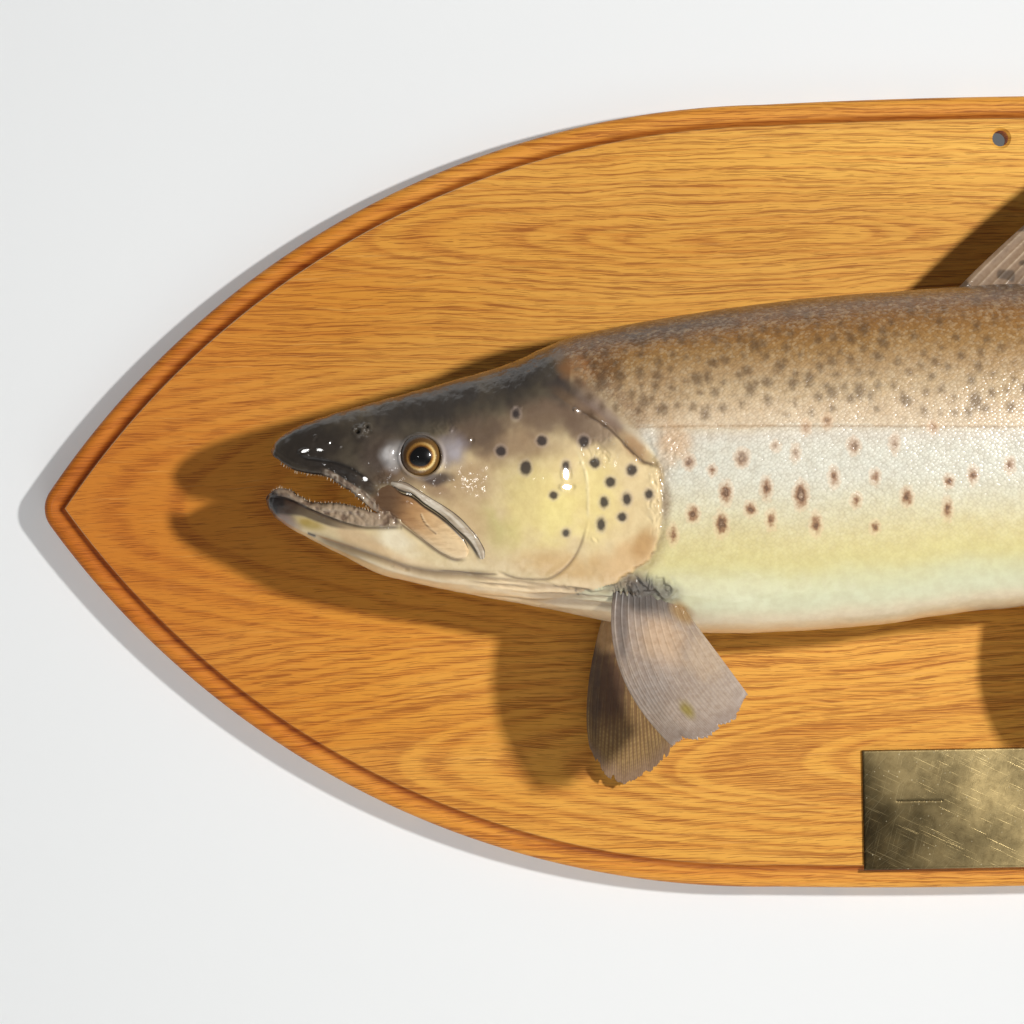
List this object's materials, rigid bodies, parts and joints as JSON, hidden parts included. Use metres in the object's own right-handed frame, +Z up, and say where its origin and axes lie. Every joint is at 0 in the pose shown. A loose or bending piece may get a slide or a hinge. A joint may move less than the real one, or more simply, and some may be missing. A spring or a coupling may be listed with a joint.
{
  "type": "mounted trophy fish",
  "caption": "Brown trout with an open hooked jaw, mounted in the round on a pointed oval oak wall board with a moulded edge, a hanging hole and a blank brass plaque.",
  "frame": {"origin": "middle of the board's back face, in the plane of the wall", "axes": "+X towards the fish's tail, +Y into the wall, +Z up; the board's front and the fish face -Y"},
  "size_m": [0.8894, 0.1125, 0.37],
  "materials": {
    "varnished_oak": "golden orange oak under a glossy varnish",
    "aged_brass": "scratched, darkened brass plate",
    "head_skin": "dark varnished fish skin, paler towards the throat",
    "gill_cover_skin": "cream yellow varnished skin with black spots",
    "flank_skin": "glossy scaled skin, brown and spotted above, silvery cream below",
    "fin_membrane": "thin rayed membrane, varnished",
    "glass_eye": "polished glass with a gold iris and a black pupil"
  },
  "bodies": {
    "root": {"board": "varnished_oak", "plaque": "aged_brass", "head_skull": "head_skin", "lower_jaw": "head_skin", "maxilla_near": "head_skin", "maxilla_far": "head_skin", "gill_cover_near": "gill_cover_skin", "gill_cover_far": "gill_cover_skin", "eye_near": "glass_eye", "eye_far": "glass_eye", "body_front": "flank_skin", "body_middle": "flank_skin", "body_rear": "flank_skin", "tail_stem": "flank_skin", "tail_fin": "fin_membrane", "dorsal_fin": "fin_membrane", "adipose_fin": "fin_membrane", "anal_fin": "fin_membrane", "pectoral_fin_near": "fin_membrane", "pectoral_fin_far": "fin_membrane", "pelvic_fin_near": "fin_membrane", "pelvic_fin_far": "fin_membrane"}
  },
  "joints": []
}
